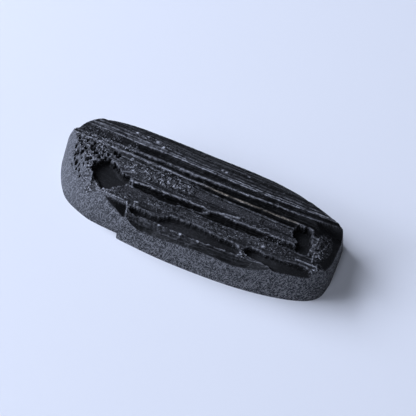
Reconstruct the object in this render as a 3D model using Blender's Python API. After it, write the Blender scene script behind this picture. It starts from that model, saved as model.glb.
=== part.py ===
"""Black tourmaline (schorl): a raw, striated crystal slab whose sides are ground to a tapered oval.

Metres, +Z up, +X along the crystal. The origin is the middle of the flat underside.
"""

import math

import bmesh
import bpy
from mathutils import Vector, noise

# ---- driving dimensions, in millimetres -------------------------------------------------

MM = 0.001
NAME = "tourmaline_crystal"

HALF_LENGTH = 21.4        # half of the ground outline, along the crystal
HALF_WIDTH = 8.4          # half of the ground outline, across it

# The ground outline at the underside, as fractions of the two half sizes above.
OUTLINE = [
    (-0.897, -0.488), (-0.776, -0.700), (-0.523, -0.868), (-0.210, -0.980),
    (0.140, -1.000), (0.491, -0.935), (0.785, -0.780), (0.944, -0.571),
    (0.998, -0.226), (0.974, 0.202), (0.925, 0.560), (0.780, 0.755),
    (0.580, 0.895), (0.350, 0.975), (0.000, 1.000), (-0.420, 0.995), (-0.645, 0.945),
    (-0.850, 0.790), (-0.955, 0.560), (-1.005, 0.270), (-0.978, -0.070),
]
STEPS_PER_SPAN = 3        # straight ground facets between two outline points

WALL_DRAFT = 12.0         # degrees off vertical of the ground sides
BEVEL_DRAFT = 24.0        # added draft of the broad bevel on the front left corner
BEVEL_HEADING = -128.0    # direction that bevel faces, in degrees from +X
BEVEL_SPREAD = 24.0
END_DRAFT = -10.0         # added draft of the right end, which stands nearly upright
END_HEADING = 15.0
END_SPREAD = 35.0

# Ridges and troughs that run along the crystal, from front to back.
# Each holds its place across the crystal and its height, both at the left end, middle, right end.
RIDGE_LINES = {
    "front overlap": ((-10.5, -10.5, -10.5), (4.3, 3.7, 3.9)),
    "front rim": ((-7.6, -7.6, -7.6), (4.9, 4.25, 4.4)),
    "front ledge": ((-6.6, -5.95, -5.3), (5.2, 4.65, 4.7)),
    "channel crest": ((-5.3, -4.6, -4.0), (5.4, 5.1, 5.1)),
    "front rib": ((-4.4, -3.5, -2.7), (5.4, 5.45, 5.3)),
    "central groove": ((-2.9, -2.2, -1.6), (5.2, 4.95, 5.0)),
    "groove crest": ((-2.2, -1.6, -1.1), (5.5, 5.55, 5.4)),
    "flat, front": ((-0.7, -0.3, 0.0), (5.5, 5.7, 5.5)),
    "flat, back": ((0.9, 0.55, 0.5), (5.6, 5.75, 5.6)),
    "pale ridge": ((1.7, 1.35, 1.4), (5.8, 6.15, 5.9)),
    "dark trough": ((2.7, 2.3, 2.5), (5.4, 5.75, 5.5)),
    "middle ridge": ((3.1, 2.7, 3.1), (5.8, 6.25, 5.9)),
    "back trough": ((3.7, 3.35, 3.6), (5.7, 6.0, 5.7)),
    "top ridge": ((4.0, 3.65, 3.95), (5.9, 6.6, 5.9)),
    "back step": ((5.0, 4.6, 4.8), (5.6, 6.0, 5.6)),
    "back slope": ((5.8, 5.7, 5.6), (5.2, 5.5, 5.2)),
    "back rim": ((7.2, 7.2, 7.0), (4.7, 4.8, 4.6)),
    "back overlap": ((10.5, 10.5, 10.5), (3.4, 3.5, 3.3)),
}
ROWS_PER_FACE = 2         # mesh rows on each face between two ridge lines
STATION_GAP = 0.33        # mesh columns along the crystal
OVERLAP = 1.0             # how far the raw slab reaches past the ground ends
WANDER = 0.10             # how far a ridge line strays from its smooth course
WANDER_LENGTH = 5.0

# Smooth hollows eaten into the top: start, end, half width, height of the floor.
HOLLOWS = {
    "left pit": ((-12.7, -1.9), (-12.3, -1.9), 2.15, 3.6),
    "left pit tail": ((-12.0, -1.9), (-9.9, -1.6), 0.95, 4.3),
    "right pit": ((16.0, 0.6), (16.4, -1.0), 1.45, 3.9),
    "corner channel": ((-11.0, -5.9), (-7.9, -5.9), 0.55, 4.35),
    "front channel": ((-6.5, -5.5), (8.9, -5.1), 0.80, 3.85),
    "right channel": ((10.6, -4.9), (18.9, -4.2), 0.95, 3.75),
}
HOLLOW_WALL = 2.2         # rise of a hollow's wall from its floor out to its half width
HOLLOW_ROUNDING = 3.0     # power of that rise: higher is a flatter floor with steeper sides

# The broken face that slopes down to the right end, in front of the back ridges.
BREAK_POINT = (17.25, 2.27, 5.6)
BREAK_NORMAL = (0.533, 0.178, 0.828)
BREAK_BACK = 3.0          # it stops against the middle ridge here
BREAK_STEP = 6.0          # steepness of the step up to that ridge

CLEAN_UP = 0.02           # points nearer than this are joined


# ---- the raw top ------------------------------------------------------------------------

def along(values, x):
    """Smooth course through the values at the left end, the middle and the right end."""
    left, middle, right = values
    t = x / HALF_LENGTH
    return middle + 0.5 * (right - left) * t + (0.5 * (left + right) - middle) * t * t


def stray(x, line, seed):
    """Slow irregular drift of one ridge line."""
    return noise.noise(Vector((x / WANDER_LENGTH, 3.7 * line, seed)))


def ridge_point(x, line):
    """Place across and height of a ridge line at the station x."""
    places, heights = list(RIDGE_LINES.values())[line]
    y = along(places, x) + WANDER * stray(x, line, 0.0)
    z = along(heights, x) + 1.5 * WANDER * stray(x, line, 9.0)
    return y, z


def distance_to_span(x, y, start, end):
    """Distance in plan from a point to the span between two points."""
    point = Vector((x, y))
    a = Vector(start)
    b = Vector(end)
    t = (point - a).dot(b - a) / (b - a).length_squared
    t = min(max(t, 0.0), 1.0)
    return (point - a.lerp(b, t)).length


def carved(x, y, z):
    """Lower a point of the top into the hollows and onto the broken face."""
    for start, end, half_width, floor in HOLLOWS.values():
        reach = distance_to_span(x, y, start, end) / half_width
        z = min(z, floor + HOLLOW_WALL * reach ** HOLLOW_ROUNDING)
    nx, ny, nz = BREAK_NORMAL
    px, py, pz = BREAK_POINT
    slope = pz - (nx * (x - px) + ny * (y - py)) / nz
    step = BREAK_STEP * max(0.0, y - BREAK_BACK)
    return min(z, slope + step)


def raw_slab():
    """Grid laid along the ridge lines, closed downwards into a block."""
    rows = (len(RIDGE_LINES) - 1) * ROWS_PER_FACE
    reach = HALF_LENGTH + OVERLAP
    stations = round(2.0 * reach / STATION_GAP)
    bm = bmesh.new()
    bmesh.ops.create_grid(bm, x_segments=stations, y_segments=rows, size=1.0)
    for v in bm.verts:
        x = v.co.x * reach
        place = 0.5 * (v.co.y + 1.0) * (len(RIDGE_LINES) - 1)
        line = min(int(place + 1e-6), len(RIDGE_LINES) - 2)
        front = Vector(ridge_point(x, line))
        back = Vector(ridge_point(x, line + 1))
        y, z = front.lerp(back, place - line)
        v.co = Vector((x, y, carved(x, y, z))) * MM

    rim = [e for e in bm.edges if e.is_boundary]
    skirt = bmesh.ops.extrude_edge_only(bm, edges=rim)["geom"]
    for v in skirt:
        if isinstance(v, bmesh.types.BMVert):
            v.co.z = -1.0 * MM
    bmesh.ops.holes_fill(bm, edges=[e for e in bm.edges if e.is_boundary])
    bmesh.ops.recalc_face_normals(bm, faces=bm.faces)
    return bm


# ---- grinding ---------------------------------------------------------------------------

def outline_points():
    """Closed smooth curve through the outline points (Catmull-Rom)."""
    points = [Vector((x * HALF_LENGTH, y * HALF_WIDTH)) for x, y in OUTLINE]
    count = len(points)
    curve = []
    for i in range(count):
        a, b, c, d = (points[(i + k) % count] for k in (-1, 0, 1, 2))
        for step in range(STEPS_PER_SPAN):
            t = step / STEPS_PER_SPAN
            curve.append(0.5 * (2.0 * b + (c - a) * t + (2.0 * a - 5.0 * b + 4.0 * c - d) * t ** 2
                                + (3.0 * b - a - 3.0 * c + d) * t ** 3))
    return curve


def bump(heading, centre, spread):
    """1 where a side faces the centre heading, falling to 0 away from it."""
    turn = (heading - centre + 180.0) % 360.0 - 180.0
    return math.exp(-(turn / spread) ** 2)


def draft_of(heading):
    """Draft of the ground side that faces a heading, in degrees."""
    bevel = BEVEL_DRAFT * bump(heading, BEVEL_HEADING, BEVEL_SPREAD)
    end = END_DRAFT * bump(heading, END_HEADING, END_SPREAD)
    return WALL_DRAFT + bevel + end


def grind(bm, point, normal):
    """Cut off what lies outside a plane, and close the cut with a flat face."""
    geom = bm.verts[:] + bm.edges[:] + bm.faces[:]
    cut = bmesh.ops.bisect_plane(
        bm, geom=geom, dist=1e-7, plane_co=point, plane_no=normal, clear_outer=True)
    edges = [g for g in cut["geom_cut"] if isinstance(g, bmesh.types.BMEdge)]
    bmesh.ops.holes_fill(bm, edges=[e for e in edges if e.is_boundary])


def grind_all(bm):
    """Flat underside, then one facet along each piece of the outline."""
    grind(bm, Vector((0.0, 0.0, 0.0)), Vector((0.0, 0.0, -1.0)))
    curve = outline_points()
    for i, a in enumerate(curve):
        side = curve[(i + 1) % len(curve)] - a
        heading = math.atan2(-side.x, side.y)
        draft = math.radians(draft_of(math.degrees(heading)))
        flat = math.cos(draft)
        normal = Vector((flat * math.cos(heading), flat * math.sin(heading), math.sin(draft)))
        grind(bm, Vector((a.x, a.y, 0.0)) * MM, normal)


# ---- the object -------------------------------------------------------------------------

def schorl_material():
    material = bpy.data.materials.new("schorl")
    material.use_nodes = True
    shader = material.node_tree.nodes["Principled BSDF"]
    shader.inputs["Base Color"].default_value = (0.012, 0.012, 0.014, 1.0)
    shader.inputs["Roughness"].default_value = 0.45
    shader.inputs["Metallic"].default_value = 0.0
    material.diffuse_color = (0.03, 0.03, 0.035, 1.0)
    return material


def centre_in_plan(bm):
    """Put the middle of the stone's extent over the origin."""
    low = Vector((min(v.co.x for v in bm.verts), min(v.co.y for v in bm.verts), 0.0))
    high = Vector((max(v.co.x for v in bm.verts), max(v.co.y for v in bm.verts), 0.0))
    bmesh.ops.translate(bm, vec=-0.5 * (low + high), verts=bm.verts)


def build_crystal():
    bm = raw_slab()
    grind_all(bm)
    bmesh.ops.remove_doubles(bm, verts=bm.verts, dist=CLEAN_UP * MM)
    bmesh.ops.dissolve_degenerate(bm, edges=bm.edges, dist=0.5 * CLEAN_UP * MM)
    centre_in_plan(bm)
    bmesh.ops.triangulate(bm, faces=bm.faces)
    bmesh.ops.recalc_face_normals(bm, faces=bm.faces)
    mesh = bpy.data.meshes.new(NAME)
    bm.to_mesh(mesh)
    bm.free()
    mesh.materials.append(schorl_material())
    return bpy.data.objects.new(NAME, mesh)


def main():
    for old in list(bpy.data.objects):
        bpy.data.objects.remove(old, do_unlink=True)
    collection = bpy.data.collections.new(NAME)
    bpy.context.scene.collection.children.link(collection)
    collection.objects.link(build_crystal())


main()
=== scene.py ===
import math

import bpy
import numpy as np
from mathutils import Matrix, Vector, noise


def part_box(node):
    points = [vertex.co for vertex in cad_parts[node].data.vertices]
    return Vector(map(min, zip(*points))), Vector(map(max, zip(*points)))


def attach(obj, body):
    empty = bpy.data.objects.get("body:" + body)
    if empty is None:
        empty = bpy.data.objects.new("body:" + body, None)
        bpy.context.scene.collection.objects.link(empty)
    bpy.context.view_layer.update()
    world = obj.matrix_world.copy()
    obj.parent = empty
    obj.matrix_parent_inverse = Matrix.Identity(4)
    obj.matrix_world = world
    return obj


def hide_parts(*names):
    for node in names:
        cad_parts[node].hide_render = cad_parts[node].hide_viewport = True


mm = 0.001

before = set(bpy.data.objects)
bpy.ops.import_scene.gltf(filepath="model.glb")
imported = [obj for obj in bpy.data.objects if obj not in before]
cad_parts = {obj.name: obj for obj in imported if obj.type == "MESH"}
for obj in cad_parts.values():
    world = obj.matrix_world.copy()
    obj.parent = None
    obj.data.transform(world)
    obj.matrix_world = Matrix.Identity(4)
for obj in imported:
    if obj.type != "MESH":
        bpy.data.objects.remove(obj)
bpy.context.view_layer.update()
print("frame loaded")


# small helpers

def course(values, x):
    # smooth run through values given at even stations from the left end (-20 mm) to the right (20 mm)
    v = np.asarray(values, float)
    v = np.concatenate([[2 * v[0] - v[1]], v, [2 * v[-1] - v[-2]]])
    place = np.clip((x + 20) / 40, -0.05, 1.05) * (len(values) - 1)
    i = np.clip(np.floor(place).astype(int), 0, len(values) - 2)
    t = place - i
    a, b, c, d = v[i], v[i + 1], v[i + 2], v[i + 3]
    bend = (2 * a - 5 * b + 4 * c - d) * t ** 2 + (3 * b - a - 3 * c + d) * t ** 3
    return 0.5 * (2 * b + (c - a) * t + bend)


def profile(value, x):
    # one value for the whole length, or a course of them
    return course(value, x) if isinstance(value, tuple) else value + 0 * x


def grain(x, y, lengthX, lengthY, seed):
    # smooth noise, about -1 to 1, with its own length along and across the crystal
    points = zip((x / lengthX).tolist(), (y / lengthY).tolist())
    return np.array([noise.noise((a, b, seed)) for a, b in points])


def shards(x, y, lengthX, lengthY, seed):
    # broken facets, each tilted its own way, about -1 to 1; second value is the distance to a facet's edge
    relief, edge = [], []
    for a, b in zip((x / lengthX).tolist(), (y / lengthY).tolist()):
        gaps, spots = noise.voronoi((a, b, seed))
        tilt = noise.cell_vector(spots[0] * 13.7)
        relief.append((a - spots[0].x) * tilt.x + (b - spots[0].y) * tilt.y + 0.3 * tilt.z)
        edge.append(gaps[1] - gaps[0])
    return np.array(relief), np.array(edge)


def ramp(low, high, value):
    # 0 below low, 1 above high, eased between
    t = np.clip((value - low) / (high - low), 0, 1)
    return t * t * (3 - 2 * t)


def patch(x, y, spot):
    # soft oval patch: centre, radii; 1 inside, 0 outside
    cx, cy, rx, ry = spot
    return 1 - ramp(0.6, 1.15, np.hypot((x - cx) / rx, (y - cy) / ry))


def toSpan(x, y, start, end):
    # distance in plan to the straight span between two points
    sx, sy = start
    ex, ey = end
    dx, dy = ex - sx, ey - sy
    t = np.clip(((x - sx) * dx + (y - sy) * dy) / (dx * dx + dy * dy), 0, 1)
    return np.hypot(x - sx - t * dx, y - sy - t * dy)


def inward(x, y, loop):
    # distance to a closed loop in plan, positive inside it
    away = np.full(len(x), 1e9)
    inside = np.zeros(len(x), bool)
    for start, end in zip(loop, loop[1:] + loop[:1]):
        away = np.minimum(away, toSpan(x, y, start, end))
        crosses = (start[1] > y) != (end[1] > y)
        if start[1] != end[1]:
            where = start[0] + (y - start[1]) * (end[0] - start[0]) / (end[1] - start[1])
            inside ^= crosses & (x < where)
    return np.where(inside, away, -away)


# the stone: everything that gives its form, in millimetres; a run of values along the crystal
# is given at even stations from the left end to the right

stone = {
    "columns": 400,          # mesh columns along the top
    "rows": 200,             # mesh rows across the top
    "wallRows": 13,          # mesh rows down the ground sides
    "wallSpacing": 1.15,     # above 1 the rows lie closer near the rim
    "facets": 6,             # ground facets between two outline points
    "rimGuess": 4.8,         # height that the search for the rim starts from
    "rimRounds": 10,
    "smoothAngle": 34.0,

    # lean of the ground sides in degrees, and what is added to it: degrees, heading, spread
    "draft": 12.0,
    "leans": {
        "front left bevel": (24.0, -128.0, 24.0),
        "upright right end": (-10.0, 15.0, 35.0),
        "left end": (-4.5, 168.0, 26.0),
    },

    # ground outline at the underside, in halves of the length and width
    "outline": [
        (-0.884, -0.484), (-0.768, -0.706), (-0.518, -0.888), (-0.2, -0.991), (0.152, -0.998),
        (0.504, -0.933), (0.798, -0.778), (0.956, -0.569), (0.99, -0.224), (0.978, 0.204),
        (0.944, 0.554), (0.784, 0.739), (0.588, 0.895), (0.362, 0.977), (0.012, 0.992), (-0.36, 0.978),
        (-0.64, 0.94), (-0.832, 0.8), (-0.932, 0.541), (-1.009, 0.26), (-0.982, -0.08),
    ],

    # how far across the lines lie that run along the crystal, front to back
    "lines": {
        "overlap": (-10.5,) * 9,
        "rim": (-7.7,) * 9,
        "edge": (-7.4, -7.3, -7.25, -6.87, -7.21, -7.13, -6.82, -6.45, -6.3),
        "ledge": (-7.15, -7.04, -6.93, -6.62, -6.88, -6.74, -6.44, -6.25, -6.1),
        "lip": (-6.63, -6.53, -6.42, -6.3, -6.28, -6.19, -6.02, -5.92, -5.81),
        "channel": (-6.41, -6.07, -5.72, -5.41, -4.59, -4.59, -4.51, -4.16, -3.82),
        "rib": (-5.2, -4.9, -4.6, -4.3, -3.9, -3.8, -3.6, -3.1, -3.0),
        "ribBack": (-2.6, -2.5, -2.42, -3.1, -2.95, -2.9, -2.7, -2.4, -2.5),
        "groove": (-2.45, -2.35, -2.2, -2.12, -1.93, -2.15, -2.06, -1.8, -1.8),
        "grooveCrest": (-2.2, -2.1, -1.98, -1.8, -1.62, -1.66, -1.54, -1.45, -1.41),
        "flat": (-0.8, -0.6, -0.5, -0.4, -0.4, -0.5, -0.5, -0.4, -0.4),
        "doubleLow": (1.21, 1.11, 1.0, 0.9, 0.81, 0.54, 0.46, 0.49, 0.39),
        "doubleHigh": (1.45, 1.38, 1.28, 1.18, 1.1, 0.98, 1.02, 1.05, 1.05),
        "pale": (2.03, 1.92, 1.76, 1.55, 1.37, 1.29, 1.33, 1.39, 1.34),
        "trough": (2.36, 2.34, 2.39, 2.34, 2.1, 1.99, 2.21, 2.23, 2.23),
        "middle": (2.63, 2.63, 2.55, 2.53, 2.34, 2.48, 2.72, 2.88, 3.14),
        "topFoot": (3.23, 3.12, 3.3, 3.28, 3.24, 3.2, 3.22, 3.5, 3.76),
        "top": (4.06, 3.95, 3.72, 3.72, 3.6, 3.47, 3.5, 3.74, 3.98),
        "topBack": (4.75, 4.72, 4.5, 4.21, 4.0, 3.89, 3.92, 4.12, 4.35),
        "back": (5.12, 5.13, 5.14, 5.16, 5.17, 5.34, 5.38, 5.3, 5.33),
        "slope": (5.9, 5.95, 5.85, 5.75, 5.7, 5.75, 5.8, 5.8, 5.8),
        "backRim": (7.2,) * 9,
        "backOverlap": (10.5,) * 9,
    },

    # strips of the raw top, front to back: the line each starts at, how far off that line, its height,
    # how grey it is from dust and painted sheen (0 glossy black, 1 grey), how pale its edge is from wear and a
    # painted crest highlight
    "strips": [
        ("overlap", 0, (4.2, 4.4, 4.6, 3.1, 3.7, 4.0, 3.75, 4.6, 4.1), 0.0, 0),
        ("rim", 0, (4.3, 4.5, 4.7, 3.2, 3.8, 4.15, 3.85, 4.75, 4.2), 0.0, 0),
        ("edge", 0, (4.6, 4.7, 4.75, 3.45, 3.98, 4.27, 3.95, 4.85, 4.3), 0.0, 0),
        ("edge", 0.16, (4.8, 4.85, 4.9, 3.65, 4.14, 4.38, 4.1, 4.9, 4.4), 0.02,
         (0.2, 0.2, 0.22, 0.22, 0.2, 0.1, 0.1, 0.1, 0.1)),
        ("ledge", -0.12, (4.9, 4.9, 4.95, 3.85, 4.25, 4.42, 4.3, 5.02, 4.45), 0.0, 0),
        ("ledge", 0.12, (5.1, 5.05, 5.05, 4.25, 4.5, 4.6, 4.48, 5.1, 4.55), 0.02,
         (0.2, 0.2, 0.2, 0.25, 0.25, 0.15, 0.1, 0.1, 0.1)),
        ("lip", -0.3, (5.15, 5.1, 5.05, 4.62, 4.6, 4.64, 4.56, 5.1, 4.6), 0.0, 0),
        ("lip", 0, (5.25, 5.2, 5.1, 4.95, 4.85, 4.8, 4.75, 5.15, 4.7), 0.04,
         (0.2, 0.4, 0.5, 0.45, 0.3)),
        ("channel", 0, (5.4, 5.3, 5.3, 5.3, 5.15, 5.15, 5.1, 5.3, 5.2), 0.12, 0.25),
        ("rib", 0, (5.5, 5.5, 5.5, 5.45, 5.35), (0.2, 0.18, 0.15, 0.13, 0.13), 0.1),
        ("ribBack", 0, (5.45, 5.45, 5.45, 5.4, 5.25), 0.0, 0.3),
        ("groove", 0, (5.0, 4.85, 4.6, 4.6, 4.75), 0.0, 0),
        ("grooveCrest", 0, (5.5, 5.55, 5.65, 5.55, 5.4), (0.18, 0.18, 0.13, 0.12, 0.14),
         (1.4, 1.6, 1.2, 0.9, 0.5)),
        ("flat", 0, (5.4, 5.48, 5.58, 5.55, 5.4), (0.18, 0.18, 0.2, 0.2, 0.18), 0),
        ("doubleLow", -0.1, (5.45, 5.55, 5.62, 5.6, 5.4), 0.0, 0),
        ("doubleLow", 0.06, (5.4, 5.48, 5.4, 5.35, 5.25), 0.0, 0),
        ("doubleLow", 0.2, (5.48, 5.58, 5.62, 5.58, 5.4), 0.15, 0.5),
        ("doubleHigh", -0.08, (5.5, 5.6, 5.62, 5.58, 5.4), 0.0, 0),
        ("doubleHigh", 0.08, (5.46, 5.56, 5.48, 5.42, 5.3), 0.0, 0),
        ("pale", -0.16, (5.6, 5.76, 5.95, 5.9, 5.75), (0.2, 0.15, 0.0, 0.0, 0.0), 0),
        ("pale", 0, (5.65, 5.85, 6.1, 6.05, 5.9), 0.18, (0.9, 1.0, 1.0, 0.85, 0.6)),
        ("pale", 0.28, (5.62, 5.8, 6.02, 5.96, 5.82), (0.2, 0.15, 0.0, 0.0, 0.0), 0),
        ("trough", -0.12, (5.55, 5.68, 5.75, 5.62, 5.5), 0.0, 0),
        ("trough", 0.08, (5.5, 5.6, 5.6, 5.45, 5.4), 0.0, 0),
        ("middle", 0, (5.45, 5.9, 6.3, 6.15, 5.9), 0.12, (0.3, 0.5, 1.1, 0.9, 0.5)),
        ("middle", 0.3, (5.4, 5.85, 6.27, 6.12, 5.85), (0.0, 0.01, 0.04, 0.04, 0.04), 0),
        ("topFoot", 0, (5.15, 5.7, 6.15, 6.0, 5.65), (0.0, 0.03, 0.12, 0.14, 0.1), 0),
        ("top", -0.15, (5.95, 6.28, 6.44, 6.3, 5.86), 0.0, 0),
        ("top", 0, (6.02, 6.45, 6.6, 6.45, 6.0), (1.0, 0.8, 0.15, 0.05, 0.05),
         (0.5, 0.7, 1.1, 1.2, 1.0)),
        ("topBack", -0.2, (5.98, 6.45, 6.52, 6.38, 5.85), (0.5, 0.3, 0.0, 0.0, 0.0),
         (1.0, 0.9, 0.0, 0.0, 0.0)),
        ("topBack", -0.1, (5.98, 6.45, 6.54, 6.4, 5.87), 0.08, (0.6, 0.6, 0.9, 1.2, 1.0)),
        ("topBack", 0.14, (5.95, 6.38, 6.4, 6.26, 5.75), 0.0, 0),
        ("topBack", 0.34, (5.92, 6.33, 6.36, 6.22, 5.7), 0.025, 0.4),
        ("topBack", 0.72, (5.85, 6.2, 6.24, 6.1, 5.6), 0.0, 0),
        ("topBack", 0.95, (5.8, 6.12, 6.16, 6.02, 5.52), 0.01, 0.2),
        ("back", 0.15, (5.7, 5.95, 5.98, 5.86, 5.38), 0.0, 0),
        ("back", 0.4, (5.66, 5.88, 5.9, 5.78, 5.3), 0.015, 0.35),
        ("slope", 0, (5.5, 5.66, 5.58, 5.46, 5.06), 0.0, 0),
        ("slope", 0.3, (5.42, 5.55, 5.45, 5.33, 4.93), 0.01, 0.2),
        ("backRim", 0, (5.1, 5.1, 4.8, 4.75, 4.5), 0.03, 0),
        ("backOverlap", 0, (4.1, 4.1, 3.5, 3.4, 3.3), 0.03, 0),
    ],

    # lines that run more raggedly than the rest
    "ragged": {
        "grooveCrest": 0.18, "groove": 0.1, "ribBack": 0.16, "channel": 0.1, "ledge": 0.14,
        "edge": 0.14, "lip": 0.12,
    },

    # how much greyer the top gets towards the left end
    "leftGreying": (3.6, 3.2, 1.7, 1.15, 1.0, 1.0, 1.0, 1.0, 1.0),

    # smooth hollows: edge in plan, height of the floor, width and roundness of the wall,
    # raggedness of the edge, how bright the lip is (pale wear with a painted highlight), how grey the floor is
    "hollows": {
        "left pit": {
            "loop": [
                (-14.9, -2.3), (-14.7, -1.2), (-14.1, -0.3), (-13.1, 0.1), (-12.0, -0.3), (-11.2, -0.8),
                (-10.3, -1.4), (-9.1, -1.45), (-8.8, -1.85), (-9.1, -2.9), (-10.0, -3.5), (-10.6, -4.1),
                (-11.2, -4.6), (-12.0, -4.6), (-12.9, -4.1), (-13.9, -3.4),
            ],
            "floor": 4.5,
            "wall": 0.55, "power": 1.5, "torn": 0.32, "lip": 0.4,
            "dustAndSheen": 0.03,
        },
        "right pit": {
            "loop": [
                (14.5, 0.3), (14.6, 1.1), (15.5, 1.5), (16.4, 1.6), (17.1, 1.2), (17.2, 0.2),
                (17.9, -0.5), (17.7, -1.8), (17.2, -2.4), (16.4, -2.3), (15.8, -1.7), (15.6, -0.8),
                (14.9, -0.4),
            ],
            "floor": 4.55,
            "wall": 0.28, "power": 1.4, "torn": 0.26, "lip": 0.25,
            "dustAndSheen": 0.0,
        },
        "corner channel": {
            "loop": [
                (-12.4, -4.95), (-11.1, -5.3), (-9.7, -5.42), (-8.5, -5.45), (-7.65, -5.4),
                (-7.4, -5.65), (-7.25, -6.1), (-7.1, -7.0), (-7.1, -9.5), (-13.6, -9.0), (-12.9, -5.6),
            ],
            "floor": (4.9, 4.9, 4.75, 3.2, 3.2, 3.2, 3.2, 3.2, 3.2),
            "wall": 0.3, "power": 1.4, "torn": 0.1, "lip": 0.5,
            "dustAndSheen": 0.0,
        },
        "front channel": {
            "loop": [
                (-7.0, -5.75), (-6.8, -5.52), (-5.9, -5.4), (-4.6, -5.42), (-3.6, -5.45), (-2.8, -5.35),
                (-2.2, -5.05), (-1.1, -4.6), (0.0, -4.45), (1.8, -4.37), (3.0, -4.34), (4.1, -4.48),
                (5.2, -4.64), (6.2, -4.71), (7.3, -4.62), (8.5, -4.66), (9.2, -5.05), (9.5, -5.5),
                (9.2, -6.0), (6.8, -6.06), (4.0, -6.25), (2.5, -6.28), (0.9, -6.2), (-0.5, -6.32),
                (-2.1, -6.26), (-3.6, -6.23), (-5.1, -6.33), (-6.4, -6.32), (-6.9, -6.1),
            ],
            "floor": 4.2,
            "wall": 0.4, "power": 1.5, "torn": 0.12, "lip": 0.4,
            "dustAndSheen": (0.0, 0.0, 0.0, 0.6, 0.7, 0.1, 0.0, 0.0, 0.0),
        },
        "right channel": {
            "loop": [
                (9.75, -5.05), (9.9, -4.5), (10.4, -4.23), (11.5, -4.21), (12.8, -4.46), (14.1, -4.4),
                (15.5, -4.28), (16.9, -4.11), (18.2, -3.95), (19.0, -4.05), (19.7, -4.6), (20.8, -5.6),
                (21.5, -9.5), (15.8, -9.5), (15.2, -6.9), (14.2, -6.1), (12.8, -5.76), (11.3, -5.62),
                (10.2, -5.4),
            ],
            "floor": (4.2, 4.2, 4.2, 4.2, 4.2, 4.2, 4.2, 4.78, 4.3),
            "wall": 0.34, "power": 1.4, "torn": 0.12, "lip": 0.35,
            "dustAndSheen": 0.0,
        },
    },

    # broken crumbly areas: centre, radii, strength
    "crumbs": {
        "left middle": (-5.5, 0.3, 6.5, 1.25, 1.0),
        "left end": (-16.5, 1.1, 3.6, 2.2, 1.0),
        "under dark face": (-15.0, 2.6, 4.0, 0.5, 1.0),
        "below left pit": (-9.8, -4.6, 2.9, 0.8, 0.6),
        "left pit rim": (-15.0, -2.8, 0.8, 1.8, 1.0),
        "rib left": (-3.0, -3.9, 5.0, 1.0, 0.28),
        "rib middle": (4.5, -3.7, 5.0, 1.0, 0.3),
        "rib right": (12.5, -3.3, 5.0, 0.8, 0.34),
        "right of pit": (18.8, -0.2, 1.1, 2.4, 0.52),
        "channel gap": (9.8, -5.4, 1.0, 0.8, 1.0),
        "right channel end": (20.0, -4.35, 1.0, 0.9, 0.75),
        "channel neck": (-7.3, -5.7, 0.5, 0.9, 0.45),
        "lip": (0.0, -6.5, 5.5, 0.35, 0.15),
        "ledge left": (-6.3, -6.7, 1.9, 0.5, 0.15),
        "dark face": (-16.2, 3.5, 3.6, 0.5, 0.4),
        "flat end": (9.4, -0.9, 2.2, 0.9, 0.3),
        "groove right": (13.5, -1.9, 2.5, 0.6, 0.7),
        "back slope": (-9.0, 5.2, 4.5, 0.8, 0.6),
        "step": (-11.0, 3.0, 1.0, 0.7, 1.0),
    },

    # rubble over the smooth breaks, and chewed spots of the ground bevel: centre, radii
    "rubble": [(19.0, 0.0, 1.1, 2.45), (19.9, -3.65, 1.0, 1.0)],
    "chewed": [(-15.6, -2.4, 1.4, 2.2), (-17.2, 0.4, 2.2, 1.8), (-13.8, -4.5, 1.2, 0.6)],

    # pores of the left end: place, radius, depth
    "pores": [
        (-18.0, -0.4, 0.34, 0.9), (-17.7, -1.5, 0.3, 0.8), (-16.7, -2.5, 0.24, 0.6),
        (-17.2, -0.5, 0.3, 0.8), (-17.1, 0.3, 0.26, 0.6), (-17.4, 1.5, 0.18, 0.4),
        (-16.0, -1.3, 0.34, 0.9), (-16.1, 0.5, 0.36, 0.8), (-15.3, 0.2, 0.28, 0.8),
        (-14.7, -0.3, 0.26, 0.7), (-14.5, 0.8, 0.2, 0.4), (-14.8, -1.3, 0.26, 0.6),
        (-12.9, 1.25, 0.3, 0.9), (-12.3, 1.05, 0.36, 0.9), (-12.1, -0.5, 0.22, 0.4),
        (-16.5, 1.0, 0.2, 0.5), (-18.7, 0.4, 0.24, 0.5), (-18.3, -1.0, 0.22, 0.6),
        (-17.1, -1.9, 0.2, 0.6), (-18.6, 1.4, 0.18, 0.4), (-15.6, -0.9, 0.24, 0.6),
        (-13.7, 0.6, 0.24, 0.6), (-17.8, 0.6, 0.22, 0.6), (-18.5, -1.6, 0.18, 0.5),
        (-17.4, -2.3, 0.17, 0.5), (-16.6, -0.2, 0.17, 0.5), (-16.9, -1.2, 0.18, 0.5),
        (-18.1, 1.0, 0.16, 0.4), (-16.2, 1.5, 0.16, 0.4), (-13.8, -0.1, 0.18, 0.5),
        (-15.5, -1.9, 0.2, 0.6), (-16.3, -3.1, 0.15, 0.4), (-14.4, 0.2, 0.16, 0.5),
        (-18.4, -0.5, 0.16, 0.5), (-16.3, -1.9, 0.18, 0.5),
    ],

    # small pale spots, bruises and painted glints on the lips: place, radius
    "bruises": [
        (-11.6, 5.4, 0.28), (-9.9, 5.5, 0.3), (-8.3, 5.1, 0.3), (-7.1, 4.5, 0.25), (1.9, 4.8, 0.24),
        (2.5, 4.7, 0.22), (5.5, 5.7, 0.24), (-2.2, -6.3, 0.2), (1.0, -6.3, 0.24), (3.6, -6.35, 0.22),
        (-1.2, -2.6, 0.18), (1.0, -2.5, 0.16), (-8.2, -2.7, 0.16), (-12.0, -4.2, 0.3),
        (-10.3, 1.3, 0.25), (-9.4, -0.3, 0.2), (9.5, -5.6, 0.3), (12.0, -3.6, 0.2),
    ],

    # smooth grey plates: start, end, half width, greyness
    "plates": [
        ((0.6, 0.05), (9.2, 0.0), 0.6, 1.3),
        ((-8.9, -3.25), (-4.6, -3.15), 0.42, 1.05),
        ((-9.0, -3.95), (-5.2, -4.1), 0.35, 0.7),
        ((-0.5, -3.6), (3.5, -3.5), 0.3, 0.7),
        ((10.8, 0.0), (13.8, 0.1), 0.5, 0.7),
    ],

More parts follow.
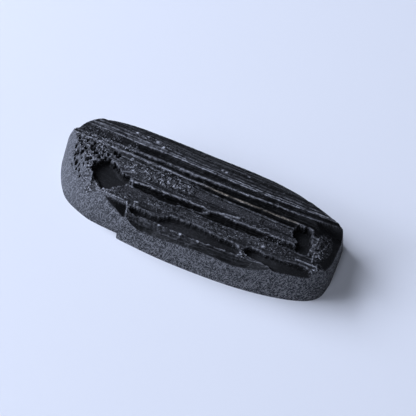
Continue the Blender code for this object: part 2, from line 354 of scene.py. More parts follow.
    # thin worn edges: start, end, width, brightness, rise
    "seams": [
        ((-7.62, -5.2), (-7.05, -6.45), 0.11, 0.8, 0.12),
        ((16.7, -3.44), (20.3, -3.36), 0.07, 0.8, 0.1), ((4.9, -1.25), (7.2, -1.05), 0.08, 0.8, 0.05),
        ((-10.5, -0.18), (-9.5, 0.1), 0.07, 0.8, 0.08),
        ((-10.5, -0.96), (-8.8, -0.47), 0.06, 0.6, 0.05),
        ((-7.85, 0.39), (-6.9, 0.09), 0.06, 0.7, 0.04), ((-6.0, -0.21), (-4.6, 0.18), 0.06, 0.7, 0.04),
        ((-8.5, -2.7), (-8.5, -1.95), 0.1, 0.8, 0.08), ((-1.2, -2.75), (0.8, -2.3), 0.07, 0.5, 0.3),
        ((0.8, -2.3), (3.2, -1.85), 0.07, 0.5, 0.25), ((3.2, -1.75), (7.3, -0.86), 0.06, 0.5, 0.06),
        ((-13.4, -3.5), (-12.5, -4.3), 0.08, 0.8, 0.2), ((-8.3, -3.9), (-7.4, -4.2), 0.06, 0.6, 0.04),
        ((-12.9, -4.6), (-11.1, -5.08), 0.05, 0.5, 0.06),
        ((-11.1, -5.08), (-7.7, -5.2), 0.05, 0.8, 0.06),
        ((-6.41, -5.5), (-6.68, -4.75), 0.07, 1.0, 0.06),
        ((-6.68, -4.75), (-6.2, -4.67), 0.07, 1.0, 0.06), ((18.5, 0.6), (18.6, -0.6), 0.09, 0.4, 0.1),
        ((18.4, -1.6), (18.8, -2.9), 0.09, 0.4, 0.1), ((17.4, 2.0), (18.7, 1.8), 0.09, 0.4, 0.08),
        ((19.3, 0.2), (19.0, -1.2), 0.09, 0.4, 0.08),
    ],

    # the top falls to this line at the front left corner, where the ground side starts
    "shoulder": {
        "line": [
            (-14.6, -3.77, 4.2), (-13.5, -4.5, 4.05), (-12.56, -4.84, 4.45), (-11.1, -5.49, 4.95),
            (-9.6, -5.91, 5.05), (-7.3, -6.5, 5.05),
        ],
        "rise": 0.65,
        "left": (-13.8, -15.2),      # where it fades out, each way
        "right": (-7.6, -6.7),
    },

    # sloping broken face of the right end
    "breakFace": {
        "point": (17.25, 2.27, 5.6),
        "normal": (0.533, 0.178, 0.828),
        "back": 3.0,             # stops against the middle ridge
        "step": 6.0,
        "dustAndSheen": 0.38,
        "rubbleDusty": 0.20,
    },

    # chip along the foot of the front side: where it starts and stops, and the low step beside it
    "chip": {"start": -13.2, "stop": -8.1, "depth": 0.72, "height": 1.15, "stepEnd": -4.6, "step": 0.1},

    "leftDrop": 2.4,          # how far the fine top reaches down the left bevel
    "striations": 0.045,      # heights of the surface grains
    "waves": 0.05,
    "chips": 0.20,
    "fineChips": 0.13,
    "grit": 0.08,
}


def crustHeight(x, y):
    # the raw striated top before anything is broken out of it: height, dust with painted sheen, wear with
    # painted crest highlights, and paleness
    lines, strips = stone["lines"], stone["strips"]
    names = list(lines)
    places, heights = [], []
    for line, offset, height, dust, edgeWearAndGlint in strips:
        k = names.index(line)
        track, swell = 0 * x + 3.7 * k, 0 * x + 5.1 * k
        torn = stone["ragged"].get(line, 0)
        wander = 0.06 * grain(x, track, 3.2, 1, 0.0) + 0.05 * grain(x, track, 0.7, 1, 4.0)
        wander = wander + (0.03 + 0.2 * torn) * grain(x, track, 0.32, 1, 5.0)
        wander = wander + torn * (0.7 * grain(x, track, 1.3, 1, 7.0) + 0.5 * grain(x, track, 0.5, 1, 8.0))
        lift = 0.07 * grain(x, swell, 4.0, 1, 9.0) + 0.05 * grain(x, swell, 0.6, 1, 6.0)
        places.append(course(lines[line], x) + offset + wander)
        heights.append(course(height, x) + lift)
    for k in range(1, len(places)):
        places[k] = np.maximum(places[k], places[k - 1] + 0.03)

    z = heights[0].copy()
    leftGreying = 1 + (course(stone["leftGreying"], x) - 1) * (y < course(lines["topFoot"], x)) * ramp(-4.6, -3.0, y)
    dustAndSheen = np.zeros_like(x)
    wear = np.zeros_like(x)
    for k, (line, offset, height, dust, edgeWearAndGlint) in enumerate(strips[:-1]):
        inside = (y >= places[k]) & (y < places[k + 1])
        t = (y - places[k]) / (places[k + 1] - places[k])
        z = np.where(inside, heights[k] + (heights[k + 1] - heights[k]) * t, z)
        # greyness of each strip: dust, with painted sheen on the strips that face the light
        dustAndSheen = np.where(inside, profile(dust, x) * leftGreying, dustAndSheen)
        # pale edge of a strip: wear, with a painted highlight along the crest
        if edgeWearAndGlint != 0:
            behindTop = line in ("topBack", "back", "slope") and offset > 0
            fading = 0.10 + 0.06 * (line == "pale") + 0.08 * behindTop
            reach = np.where(y >= places[k], fading, 0.03)
            wear = np.maximum(wear, profile(edgeWearAndGlint, x) * np.exp(-((y - places[k]) / reach) ** 2))
    pale = np.exp(-((y - course(lines["pale"], x) - 0.1) / 0.22) ** 2)
    pale = pale * ramp(-1.0, 3.0, x) * ramp(15.5, 14.0, x)
    return z, dustAndSheen, wear, pale


class Top:
    # the finished top over places in plan: its height, and the masks that the finish uses
    def __init__(self, x, y, groundZ=None):
        self.x, self.y = x, y
        self.bend = y - course(stone["lines"]["pale"], x) + 1.4
        self.z, self.dustAndSheen, self.wear, self.pale = crustHeight(x, y)
        self.ground = np.zeros_like(x)
        self.dropShoulder()
        self.roughen()
        self.addMarks()
        self.openHollows()
        self.breakEnd()
        if groundZ is not None:
            self.grind(groundZ)
        self.openPores()

    def dropShoulder(self):
        # falls away towards the front left corner
        shoulder = stone["shoulder"]
        lineX, lineY, lineZ = zip(*shoulder["line"])
        off = self.y - np.interp(self.x, lineX, lineY)
        fall = np.interp(self.x, lineX, lineZ) + shoulder["rise"] * off
        fade = ramp(*shoulder["left"], self.x) + ramp(*shoulder["right"], self.x)
        self.z = np.minimum(self.z, fall + 3 * fade)

    def roughen(self):
        # crumbly patches, smooth plates, striations and broken chips
        x, y, bend = self.x, self.y, self.bend
        rough = np.zeros_like(x)
        for *spot, strength in stone["crumbs"].values():
            rough = np.maximum(rough, strength * patch(x, y, spot))
        self.breakUp = grain(x, bend, 1.3, 0.6, 21.0)
        rough = np.clip(rough * (0.85 + 1.1 * self.breakUp) + 0.2 * ramp(0.2, 0.6, self.breakUp), 0, 1)

        plate = np.zeros_like(x)
        shade = np.zeros_like(x)
        for start, end, width, grey in stone["plates"]:
            away = toSpan(x, y, start, end) + 0.25 * grain(x, y, 0.9, 0.5, 25.0)
            away = away + 0.12 * grain(x, y, 0.35, 0.25, 27.0)
            cover = 1 - ramp(width - 0.12, width + 0.02, away)
            shade = np.where(cover > plate, grey, shade)
            plate = np.maximum(plate, cover)
        self.rough = rough * (1 - plate)
        self.smooth = 0.9 * plate
        self.dustAndSheen = self.dustAndSheen + (shade - self.dustAndSheen) * plate

        fine = grain(x, bend, 4.0, 0.19, 31.0) + 0.6 * grain(x, bend, 1.5, 0.13, 33.0)
        fine = fine * (0.3 + 1.3 * ramp(-0.3, 0.4, grain(x, bend, 6.0, 0.5, 37.0))) * (1 - 0.8 * plate)
        fine = fine * (1 - 0.6 * ramp(0.0, 0.4, y - course(stone["lines"]["topBack"], x)))
        broad = grain(x, bend, 4.0, 0.40, 35.0)
        self.z = self.z + (stone["striations"] * fine + stone["waves"] * broad) * (1 - 0.5 * self.rough)

        self.calm = self.z.copy()        # kept for the walls of the hollows, which have no chips
        self.chips, gap = shards(x + 0.3 * bend, bend, 1.1, 0.36, 41.0)
        self.fineChips = shards(x - 0.4 * bend, bend, 0.42, 0.19, 43.0)[0]
        broken = stone["chips"] * self.chips + stone["fineChips"] * self.fineChips
        self.z = self.z + self.rough * (broken + stone["grit"] * grain(x, bend, 1.3, 0.25, 45.0))
        uneven = 0.55 + 0.9 * grain(x, bend, 1.1, 0.5, 47.0) + 0.5 * grain(x, bend, 0.3, 0.3, 48.0)
        self.wear = self.wear * uneven
        crack = 1 - ramp(0.0, 0.10, gap)
        bare = ramp(-0.1, 0.3, grain(x, bend, 0.8, 0.5, 49.0))
        self.wear = np.maximum(self.wear, self.rough * crack * bare * 0.5)

    def addMarks(self):
        # pale bruises and painted glints, and thin worn edges
        for cx, cy, radius in stone["bruises"]:
            away = np.hypot(self.x - cx, self.y - cy) / radius
            self.wear = np.maximum(self.wear, 1 - ramp(0.5, 1.1, away))
        for start, end, width, bright, rise in stone["seams"]:
            band = np.exp(-(toSpan(self.x, self.y, start, end) / width) ** 2)
            self.wear = np.maximum(self.wear, bright * band)
            self.z = self.z + rise * band

    def openHollows(self):
        # smooth pits and channels with torn edges, steep round walls and a pale lip that is partly wear and
        # partly a painted highlight
        for k, hollow in enumerate(stone["hollows"].values()):
            lowX, lowY = np.min(hollow["loop"], 0) - 1
            highX, highY = np.max(hollow["loop"], 0) + 1
            near = (self.x > lowX) & (self.x < highX) & (self.y > lowY) & (self.y < highY)
            if not near.any():
                continue
            u, v, z = self.x[near], self.y[near], self.z[near]
            depth = inward(u, v, hollow["loop"])
            tear = 0.7 * grain(u, v, 0.7, 0.6, 51.0 + k) + 0.9 * grain(u, v, 0.22, 0.2, 61.0 + k)
            tear = hollow["torn"] * (tear + 0.7 * grain(u, v, 0.38, 0.34, 65.0 + k))
            depth = depth + tear * (1 - ramp(0.0, 0.5, depth))
            share = np.clip(depth / hollow["wall"], 0, 1)
            low = np.minimum(profile(hollow["floor"], u) + 0.05 * grain(u, v, 1.2, 0.5, 71.0 + k), z)
            crust = z + (self.calm[near] - z) * ramp(0.0, 0.25, share)
            self.z[near] = np.where(depth < 0, z, low + (crust - low) * (1 - share) ** hollow["power"])
            inside = ramp(0.0, 0.15, depth)
            self.smooth[near] = np.maximum(self.smooth[near], inside)
            self.dustAndSheen[near] = self.dustAndSheen[near] + (profile(hollow["dustAndSheen"], u) - self.dustAndSheen[near]) * inside
            self.rough[near] = self.rough[near] * (1 - inside)
            # pale lip: wear with a painted highlight
            glow = hollow["lip"] * np.exp(-(np.minimum(depth, 0) / 0.11) ** 2) * (1 - inside)
            glow = glow * (0.6 + 0.9 * grain(u, v, 0.7, 0.5, 91.0 + k))
            self.wear[near] = np.maximum(self.wear[near] * (1 - inside), glow)

    def breakEnd(self):
        # sloping broken face of the right end, with rubble on it
        face = stone["breakFace"]
        px, py, pz = face["point"]
        nx, ny, nz = face["normal"]
        slope = pz - (nx * (self.x - px) + ny * (self.y - py)) / nz
        slope = slope + face["step"] * np.maximum(0, self.y - face["back"])
        slope = slope + 0.06 * grain(self.x, self.y, 1.2, 0.8, 81.0)
        cut = ramp(0.0, 0.08, self.z - slope)
        self.z = np.minimum(self.z, slope)
        rubbly = np.zeros_like(self.x)
        for spot in stone["rubble"]:
            rubbly = np.maximum(rubbly, patch(self.x, self.y, spot))
        rubbly = np.clip(rubbly * (1.2 + 0.8 * self.breakUp), 0, 1)
        self.z = self.z + rubbly * cut * (0.04 + 0.22 * self.chips + 0.12 * self.fineChips)
        self.rough = np.maximum(self.rough, rubbly)
        cut = cut * (1 - rubbly)
        self.smooth = np.maximum(self.smooth * (1 - rubbly), cut)
        self.dustAndSheen = self.dustAndSheen + (face["rubbleDusty"] - self.dustAndSheen) * rubbly
        self.dustAndSheen = self.dustAndSheen + (face["dustAndSheen"] - self.dustAndSheen) * cut
        self.wear = self.wear * (1 - cut)

    def grind(self, groundZ):
        # the ground sides cut the top off, and are chewed along their edge
        self.ground = ramp(-0.02, 0.06, self.z - groundZ)
        self.z = np.minimum(self.z, groundZ)
        worried = np.zeros_like(self.x)
        for spot in stone["chewed"]:
            worried = np.maximum(worried, patch(self.x, self.y, spot))
        bitten = grain(self.x, self.y, 0.7, 0.7, 111.0) + 0.5 * grain(self.x, self.y, 0.25, 0.25, 113.0)
        worried = worried * ramp(-0.25, 0.2, bitten)
        self.z = self.z + worried * self.ground * (0.14 * self.fineChips - 0.06)
        self.rough = np.maximum(self.rough, worried)
        self.dustAndSheen = self.dustAndSheen + (0.85 - self.dustAndSheen) * worried * self.ground
        self.ground = self.ground * (1 - 0.75 * worried)

    def openPores(self):
        # pores of the left end go through crust and ground face alike, with pale webs between them
        x, y = self.x, self.y
        web = np.zeros_like(x)
        wobbleX = x + 0.22 * grain(x, y, 0.45, 0.45, 101.0)
        wobbleY = y + 0.22 * grain(x, y, 0.45, 0.45, 103.0)
        for cx, cy, radius, deep in stone["pores"]:
            reach = np.hypot(wobbleX - cx, (wobbleY - cy) * 0.8) / radius
            hole = 1 - ramp(0.50, 1.05, reach)
            web = np.maximum(web * (1 - hole), np.exp(-((reach - 1.35) / 0.30) ** 2))
            self.z = self.z - deep * hole
            self.dustAndSheen = self.dustAndSheen * (1 - hole)
            self.ground = self.ground * (1 - hole)
            self.wear = self.wear * (1 - hole)
            self.smooth = np.maximum(self.smooth, hole)
        self.wear = np.maximum(self.wear, 0.30 * web * (0.6 + 1.2 * grain(x, y, 0.6, 0.5, 105.0)))

    def masks(self):
        return {"dustAndSheen": self.dustAndSheen, "wear": np.clip(self.wear, 0, 1), "crumb": self.rough * (1 - self.smooth),
                "smooth": self.smooth, "pale": self.pale, "ground": self.ground}


def closedCurve(points, steps):
    # smooth closed curve through the points
    count = len(points)
    curve = []
    for i in range(count):
        a, b, c, d = (points[(i + k) % count] for k in (-1, 0, 1, 2))
        for step in range(steps):
            t = step / steps
            bend = (2 * a - 5 * b + 4 * c - d) * t ** 2 + (3 * b - a - 3 * c + d) * t ** 3
            curve.append(0.5 * (2 * b + (c - a) * t + bend))
    return np.array(curve)


class GroundSides:
    # the ground facets: normals in plan, offsets and leans; the stone is what lies inside them all
    def __init__(self):
        low, high = (np.array(corner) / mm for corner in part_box("tourmaline_crystal"))
        curve = closedCurve([np.array(p) * (high - low)[:2] / 2 for p in stone["outline"]], stone["facets"])
        side = np.roll(curve, -1, 0) - curve
        normal = np.stack([side[:, 1], -side[:, 0]], 1)
        self.normal = normal / np.hypot(normal[:, 0], normal[:, 1])[:, None]
        heading = np.degrees(np.arctan2(normal[:, 1], normal[:, 0]))
        lean = np.full(len(curve), stone["draft"])
        for extra, centre, width in stone["leans"].values():
            turn = (heading - centre + 180) % 360 - 180
            lean = lean + extra * np.exp(-(turn / width) ** 2)
        self.offset = (self.normal * curve).sum(1)
        self.slope = np.tan(np.radians(lean))
        self.half = np.abs(curve).max(0)

    def aim(self, s, t):
        # rays from the long axis out through the border points
        waist = self.half[0] - self.half[1]
        goal = np.stack([s * self.half[0] * 0.97, t * self.half[1] * 0.97], 1)
        self.origin = np.stack([np.clip(goal[:, 0], -waist, waist) * 0.98, 0 * s], 1)
        way = goal - self.origin
        self.way = way / np.hypot(way[:, 0], way[:, 1])[:, None]

    def at(self, height):
        # where each ray meets the ground sides at a height
        closing = self.way @ self.normal.T
        room = self.offset[None, :] - height[:, None] * self.slope[None, :] - self.origin @ self.normal.T
        reach = np.where(closing > 1e-3, room / np.maximum(closing, 1e-3), 1e9).min(1)
        return self.origin + self.way * reach[:, None]

    def heightAt(self, x, y):
        # height of the ground facets over a place in plan
        over = (self.offset[None, :] - np.stack([x, y], 1) @ self.normal.T) / self.slope[None, :]
        return over.min(1)


def blockMesh():
    # flat sheet, its border drawn down in rows and closed underneath
    bpy.ops.object.select_all(action="DESELECT")
    bpy.ops.mesh.primitive_grid_add(x_subdivisions=stone["columns"], y_subdivisions=stone["rows"], size=2)
    block = bpy.context.object
    block.name = "raw_tourmaline"
    bpy.ops.object.mode_set(mode="EDIT")
    bpy.ops.mesh.select_mode(type="EDGE")
    bpy.ops.mesh.select_all(action="DESELECT")
    bpy.ops.mesh.select_non_manifold()
    for row in range(stone["wallRows"]):
        bpy.ops.mesh.extrude_region_move(TRANSFORM_OT_translate={"value": (0, 0, -1)})
    bpy.ops.mesh.edge_face_add()
    bpy.ops.mesh.select_all(action="SELECT")
    bpy.ops.mesh.normals_make_consistent(inside=False)
    bpy.ops.object.mode_set(mode="OBJECT")
    return block


def findRim(sides):
    # rim of the top: where crust and ground sides meet, let down over the left bevel
    height = np.full(len(sides.way), stone["rimGuess"])
    for attempt in range(stone["rimRounds"]):
        plan = sides.at(height)
        height = 0.35 * height + 0.65 * Top(plan[:, 0], plan[:, 1]).z
    rim = sides.at(height)
    bevelled = ramp(-11.6, -14.5, rim[:, 0]) * ramp(3.2, 1.0, rim[:, 1])
    height = height - stone["leftDrop"] * bevelled
    return sides.at(height), height


def fillSheet(plan):
    # places inside the rim, blended from its four sides
    u = np.linspace(0, 1, plan.shape[1])[None, :, None]
    v = np.linspace(0, 1, plan.shape[0])[:, None, None]
    corners = ((1 - u) * (1 - v) * plan[0, 0] + u * (1 - v) * plan[0, -1]
               + (1 - u) * v * plan[-1, 0] + u * v * plan[-1, -1])
    return (1 - v) * plan[:1] + v * plan[-1:] + (1 - u) * plan[:, :1] + u * plan[:, -1:] - corners


def spread(g, n, axis):
    # running mean along one direction of a grid
    return sum(np.roll(g, k, axis) for k in range(-n, n + 1)) / (2 * n + 1)


def standing(z):
    # how far crests stand above what lies round them, -1 to 1
    crest = z - spread(spread(z, 4, 0), 3, 1)
    fineCrest = z - spread(spread(z, 1, 0), 1, 1)
    return np.clip(crest.ravel() / 0.16 + fineCrest.ravel() / 0.08, -1, 1)


def chipBite(x, y, z):
    # how far the foot of the front side is bitten back
    chip = stone["chip"]
    start, stop, height = chip["start"], chip["stop"], chip["height"]
    front = y < 0
    along = np.clip((x - start) / (stop - start), 0, 1) * (x < stop) * front
    low = (x >= stop) * (1 - ramp(stop, chip["stepEnd"], x)) * (z < height) * front
    return chip["depth"] * along * np.clip(1.15 - z / height, 0, 1) - chip["step"] * low


def carveStone():
    block = blockMesh()
    mesh = block.data
    co = np.empty(len(mesh.vertices) * 3)
    mesh.vertices.foreach_get("co", co)
    co = co.reshape(-1, 3)
    s, t, depth = co[:, 0].copy(), co[:, 1].copy(), -co[:, 2]
    print("block:", len(co), "points")

    onSheet = depth < 0.5
    border = np.maximum(np.abs(s), np.abs(t)) > 1 - 1e-4
    rimPoints = np.flatnonzero(border & onSheet)
    sides = GroundSides()
    sides.aim(s[rimPoints], t[rimPoints])
    rim, rimHeight = findRim(sides)
    print("rim found")

    columns, rows = stone["columns"], stone["rows"]
    col = np.rint((s + 1) / 2 * columns).astype(int)
    row = np.rint((t + 1) / 2 * rows).astype(int)
    sheetPoints = np.flatnonzero(onSheet)
    grid = np.full((rows + 1, columns + 1), -1)
    grid[row[sheetPoints], col[sheetPoints]] = sheetPoints
    grid = grid.ravel()
    plan = np.zeros((rows + 1, columns + 1, 2))
    plan[row[rimPoints], col[rimPoints]] = rim
    plan = fillSheet(plan)
    x, y = plan[..., 0].ravel(), plan[..., 1].ravel()
    top = Top(x, y, sides.heightAt(x, y))
    z = top.z.reshape(rows + 1, columns + 1)
    z[row[rimPoints], col[rimPoints]] = rimHeight
    masks = top.masks()
    masks["stand"] = standing(z) * (1 - masks["ground"])
    place = np.zeros((len(co), 3))
    place[grid] = np.stack([x, y, z.ravel()], 1)
    layers = {name: np.zeros(len(co)) for name in masks}
    for name, values in masks.items():
        layers[name][grid] = values
    print("top carved")

    # the ground sides, row by row down from the rim
    order = {(c, r): k for k, (c, r) in enumerate(zip(col[rimPoints], row[rimPoints]))}
    wallPoints = np.flatnonzero(~onSheet)
    which = np.array([order[key] for key in zip(col[wallPoints], row[wallPoints])])
    wallRow = np.rint(depth[wallPoints])
    wallHeight = rimHeight[which] * (1 - (depth[wallPoints] / stone["wallRows"]) ** stone["wallSpacing"])
    for step in range(stone["wallRows"]):
        ring = np.flatnonzero(wallRow == step + 1)
        height = np.zeros(len(rimPoints))
        height[which[ring]] = wallHeight[ring]
        place[wallPoints[ring], :2] = sides.at(height)[which[ring]]
        place[wallPoints[ring], 2] = wallHeight[ring]
    layers["ground"][wallPoints] = 1
    bite = chipBite(*place[wallPoints].T)
    place[wallPoints, 0] += 0.30 * bite
    place[wallPoints, 1] += 0.95 * bite
    flow = place.copy()
    flow[:, 1] = flow[:, 1] - course(stone["lines"]["pale"], flow[:, 0])

    mesh.vertices.foreach_set("co", (place * mm).ravel())
    mesh.update()
    for name, values in layers.items():
        layer = mesh.attributes.new(name, "FLOAT", "POINT")
        layer.data.foreach_set("value", values)
    layer = mesh.attributes.new("flow", "FLOAT_VECTOR", "POINT")
    layer.data.foreach_set("vector", (flow * mm).ravel())
    bpy.ops.object.shade_smooth_by_angle(angle=math.radians(stone["smoothAngle"]))
    print("sides ground:", len(mesh.polygons), "faces")
    return block


# shader building

class Wire:
    # a shader socket that Python sums act on
    def __init__(self, tree, socket):
        self.tree = tree
        self.socket = socket

    def calc(self, operation, a, b=0.0, clamp=False):
        node = self.tree.nodes.new("ShaderNodeMath")
        node.operation = operation
        node.use_clamp = clamp
        for socket, value in zip(node.inputs, (a, b)):
            if isinstance(value, Wire):
                self.tree.links.new(value.socket, socket)
            else:
                socket.default_value = value
        return Wire(self.tree, node.outputs[0])

    def __add__(self, other):
        return self.calc("ADD", self, other)

    def __sub__(self, other):
        return self.calc("SUBTRACT", self, other)

    def __mul__(self, other):
        return self.calc("MULTIPLY", self, other)

    def __radd__(self, other):
        return self.calc("ADD", other, self)

    def __rsub__(self, other):
        return self.calc("SUBTRACT", other, self)

    def __rmul__(self, other):
        return self.calc("MULTIPLY", other, self)

    def clip(self):
        return self.calc("ADD", self, 0.0, clamp=True)

    def step(self, low, high):
        # 0 below low, 1 above high
        return self.calc("MULTIPLY", self - low, 1.0 / (high - low), clamp=True)


class Finish:
    # one material and its nodes
    def __init__(self, name):
        self.material = bpy.data.materials.new(name)
        self.material.use_nodes = True
        self.tree = self.material.node_tree
        self.shader = self.tree.nodes["Principled BSDF"]

    def node(self, kind, settings=None, output=0, **sockets):
        # sockets are given by name, or by number as in0, in1
        node = self.tree.nodes.new(kind)
        for key, value in (settings or {}).items():
            setattr(node, key, value)
        for key, value in sockets.items():
            name = int(key[2:]) if key.startswith("in") else key.replace("_", " ")
            self.plug(node.inputs[name], value)
        return Wire(self.tree, node.outputs[output])

    def plug(self, socket, value):
        if isinstance(value, Wire):
            self.tree.links.new(value.socket, socket)
        else:
            socket.default_value = value

    def attribute(self, name, output=2):
        return self.node("ShaderNodeAttribute", {"attribute_name": name}, output=output)

    def mix(self, factor, a, b):
        return self.node("ShaderNodeMix", {"data_type": "RGBA"}, output=2, in0=factor, in6=a, in7=b)

    def noise(self, where, length, detail, rough):
        return self.node("ShaderNodeTexNoise", Vector=where, Scale=1 / (length * mm), Detail=detail,
                         Roughness=rough)


schorl = {
    "black": (0.0025, 0.0024, 0.0024, 1),
    "inner": (0.0180, 0.0175, 0.0180, 1),       # dust inside the smooth hollows
    "grey": (0.057, 0.057, 0.060, 1),
    "pale": (0.40, 0.40, 0.42, 1),              # worn edges, and painted highlights on crests and lips
    "cream": (0.40, 0.335, 0.245, 1),           # worn edge of the pale line
    "groundDark": (0.010, 0.0105, 0.012, 1),
    "groundPale": (0.203, 0.205, 0.215, 1),
    "groundEven": (0.078, 0.080, 0.087, 1),     # mean tone, which the left bevel tends to

    # grains: size in mm, detail, roughness
    "cloud": (1.6, 3.0, 0.5),
    "speck": (0.24, 1.0, 0.5),
    "grit": (0.16, 1.0, 0.5),
    "dust": (0.45, 3.0, 0.65),
    "streaks": (0.26, 2.0, 0.5),
    "fineStreaks": (0.12, 1.0, 0.5),
    "wide": (0.6, 2.0, 0.6),
    "scratches": (0.15, 1.0, 0.5),

    "flecks": 0.95,             # how strongly each kind of pale mark shows, painted sparks and glints among them
    "sparks": 0.5,
    "hairlines": 0.09,
    "roughness": 0.42,
    "groundRoughness": 0.6,
    "ior": 1.63,
    "specular": 0.135,
    "bumpHeight": 0.00020,
    "bumpStrength": 0.95,
}


def schorlFinish():
    f = Finish("schorl")
    where = f.node("ShaderNodeTexCoord", output=3)
    station = f.node("ShaderNodeSeparateXYZ", Vector=where) * (1 / mm)
    flow = f.attribute("flow", output=1)
    behind = f.node("ShaderNodeSeparateXYZ", output=1, Vector=flow) * (1 / mm)
    along = f.node("ShaderNodeMapping", {"vector_type": "POINT"}, Vector=flow, Scale=(0.04, 1.0, 1.0))
    slanting = f.node("ShaderNodeMapping", {"vector_type": "TEXTURE"}, Vector=where,
                      Rotation=(0.0, -1.1, 0.0), Scale=(18.0, 3.0, 1.0))
    ground = f.attribute("ground")
    wear = f.attribute("wear")
    stand = f.attribute("stand")
    crumb = f.attribute("crumb")
    smooth = f.attribute("smooth")
    dustAndSheen = f.attribute("dustAndSheen")
    pale = f.attribute("pale")

    cloud, speck, grit, dust, wide = (f.noise(where, *schorl[name])
                                      for name in ("cloud", "speck", "grit", "dust", "wide"))
    streaks, fineStreaks = (f.noise(along, *schorl[name]) for name in ("streaks", "fineStreaks"))
    scratches = f.noise(slanting, *schorl["scratches"])

    # raw crystal: black, greyer where it is dusty or bruised and where sheen is painted, lighter on standing
    # crests and darker in creases as painted highlight and shade
    lined = (0.65 * streaks + 0.35 * speck).step(0.47, 0.56)
    broken = (0.7 * speck + 0.3 * grit).step(0.48, 0.56)
    mottle = crumb * broken + (1 - crumb) * lined
    mottle = mottle * (1 - smooth) + smooth * 0.5
    # stand lightens crests and darkens creases: painted highlight and shade
    body = dustAndSheen * (0.08 + 1.75 * mottle) * (0.5 + 1.0 * cloud) * (1 + 0.5 * stand)
    inner = dustAndSheen * (0.2 + 1.6 * speck.step(0.35, 0.65))
    raw = f.mix(body.clip(), schorl["black"], schorl["grey"])
    raw = f.mix(smooth, raw, f.mix(inner.clip(), schorl["black"], schorl["inner"]))

    # pale marks: worn edges with painted crest highlights, flecks, painted sparks, hairlines behind the crest,
    # painted glints at the edge of hollows
    # standing crests get a painted highlight
    edge = wear + 0.14 * stand.step(0.3, 1.0) * dustAndSheen.step(0.03, 0.12)
    edge = edge * (1 - 0.8 * smooth) * (0.5 * dust + 0.5 * speck).step(0.34, 0.52)
    fleck = crumb * (0.5 * speck + 0.5 * grit).step(0.565, 0.62)
    spark = (1 - crumb) * (1 - smooth) * dustAndSheen.step(0.02, 0.2)
    spark = spark * (0.5 * streaks + 0.5 * grit).step(0.60, 0.68)
    hairline = behind.step(2.3, 2.7) * (1 - crumb) * (1 - ground) * cloud.step(0.40, 0.56)
    hairline = hairline * (0.75 * streaks + 0.25 * grit).step(0.56, 0.64)
    sunk = smooth.step(0.92, 0.99)
    glint = (0.03 * sunk + 0.24 * smooth * (1 - sunk)) * grit.step(0.58, 0.66)
    edge = edge + schorl["flecks"] * fleck + schorl["sparks"] * spark
    edge = (edge + schorl["hairlines"] * hairline + glint).clip()
    raw = f.mix(edge, raw, f.mix(pale, schorl["pale"], schorl["cream"]))

    # ground sides: grey, speckled with fine pale grain, evener on the left bevel
    powder = 0.10 * wide + 0.50 * speck + 0.40 * grit
    tone = 0.34 + 1.25 * powder.step(0.53, 0.60) - 0.34 * powder.step(0.48, 0.42)
    tone = (tone + 0.8 * scratches.step(0.61, 0.67)).clip()
    sanded = f.mix(tone, schorl["groundDark"], schorl["groundPale"])
    sanded = f.mix(0.50 + 0.50 * station.step(-17, -6), schorl["groundEven"], sanded)
    f.plug(f.shader.inputs["Base Color"], f.mix(ground, raw, sanded))

    rough = schorl["roughness"] + 0.15 * crumb + 0.3 * edge + 0.10 * cloud + 0.25 * smooth
    rough = rough * (1 - ground) + (schorl["groundRoughness"] + 0.2 * speck) * ground
    f.plug(f.shader.inputs["Roughness"], rough)
    f.shader.inputs["IOR"].default_value = schorl["ior"]
    f.shader.inputs["Specular IOR Level"].default_value = schorl["specular"]

    relief = (streaks * 0.7 + fineStreaks * 0.3) * (1 - ground) * (1 - smooth * 0.85) * (1 - 0.5 * crumb)
    relief = relief + (speck * 0.8 + grit * 0.3) * (0.15 + 0.85 * crumb) * (1 - ground) * (1 - 0.8 * smooth)
    relief = relief + speck * ground * 0.3
    bump = f.node("ShaderNodeBump", Height=relief, Distance=schorl["bumpHeight"],
                  Strength=schorl["bumpStrength"])
    f.plug(f.shader.inputs["Normal"], bump)
    return f.material


# the stone

tourmaline = carveStone()
tourmaline.data.materials.append(schorlFinish())
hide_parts("tourmaline_crystal")
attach(tourmaline, "root")
print("stone finished")


# floor, light and camera

studio = {
    "floorSize": 4.0,
    "floorColour": (0.80, 0.80, 0.80, 1),
    "floorRoughness": 0.9,
    "floorSpecular": 0.2,
    # panes of the window: heading and height in degrees, power
    "panes": [(165, 30, 4.75), (180, 45, 2.6), (195, 25, 3.75), (210, 20, 2.25), (270, 70, 1.35)],
    "paneDistance": 0.80,
    "paneSize": 0.38,
    "windowColour": (0.714, 0.79, 1.0),
    "sky": (0.018, 0.019, 0.021),
}

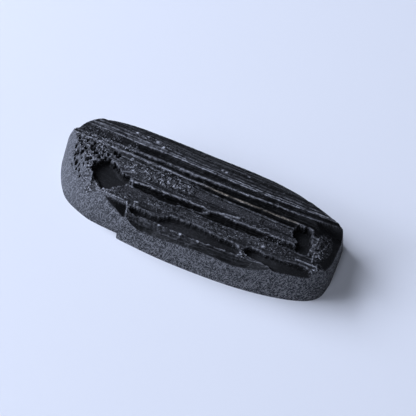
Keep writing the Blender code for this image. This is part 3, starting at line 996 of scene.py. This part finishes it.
view = {
    "azimuth": 26.5,
    "elevation": 55.0,
    "lens": 120.0,
    "sensor": 36.0,
    "distance": 190.9,           # mm
    "target": (1.67, -0.2, 2.0),
    "slide": (0.413, 0.826),     # how far the view is slid right and up off the target, mm
}


def floorFinish():
    f = Finish("pale_floor")
    f.shader.inputs["Base Color"].default_value = studio["floorColour"]
    f.shader.inputs["Roughness"].default_value = studio["floorRoughness"]
    f.shader.inputs["Specular IOR Level"].default_value = studio["floorSpecular"]
    return f.material


def addFloor():
    bpy.ops.object.select_all(action="DESELECT")
    bpy.ops.mesh.primitive_plane_add(size=studio["floorSize"], location=(0, 0, 0))
    floor = bpy.context.object
    floor.name = "floor"
    floor.data.materials.append(floorFinish())


def addWindow():
    # round panes side by side make one wide soft window
    for number, (heading, height, power) in enumerate(studio["panes"]):
        turn, rise = math.radians(heading), math.radians(height)
        way = Vector((math.cos(turn) * math.cos(rise), math.sin(turn) * math.cos(rise), math.sin(rise)))
        bpy.ops.object.light_add(type="AREA", location=way * studio["paneDistance"])
        pane = bpy.context.object
        pane.name = f"pane_{number}"
        pane.data.shape = "DISK"
        pane.data.size = studio["paneSize"]
        pane.data.energy = power
        pane.data.color = studio["windowColour"]
        pane.rotation_euler = way.to_track_quat("Z", "Y").to_euler()


def addSky():
    world = bpy.data.worlds.new("soft_room")
    world.use_nodes = True
    world.node_tree.nodes["Background"].inputs["Color"].default_value = (*studio["sky"], 1)
    bpy.context.scene.world = world
    bpy.context.scene.view_settings.view_transform = "Standard"


def addCamera():
    a, e = math.radians(view["azimuth"]), math.radians(view["elevation"])
    back = Vector((math.sin(a) * math.cos(e), -math.cos(a) * math.cos(e), math.sin(e)))
    right = Vector((math.cos(a), math.sin(a), 0))
    up = back.cross(right)
    spot = Vector(view["target"]) + back * view["distance"]
    spot = spot + right * view["slide"][0] + up * view["slide"][1]
    bpy.ops.object.camera_add(location=spot * mm)
    camera = bpy.context.object
    camera.rotation_euler = Matrix((right, up, back)).transposed().to_euler()
    camera.data.lens = view["lens"]
    camera.data.sensor_width = view["sensor"]
    camera.data.clip_start = 0.01
    bpy.context.scene.camera = camera


addFloor()
addWindow()
addSky()
addCamera()
print("studio ready")
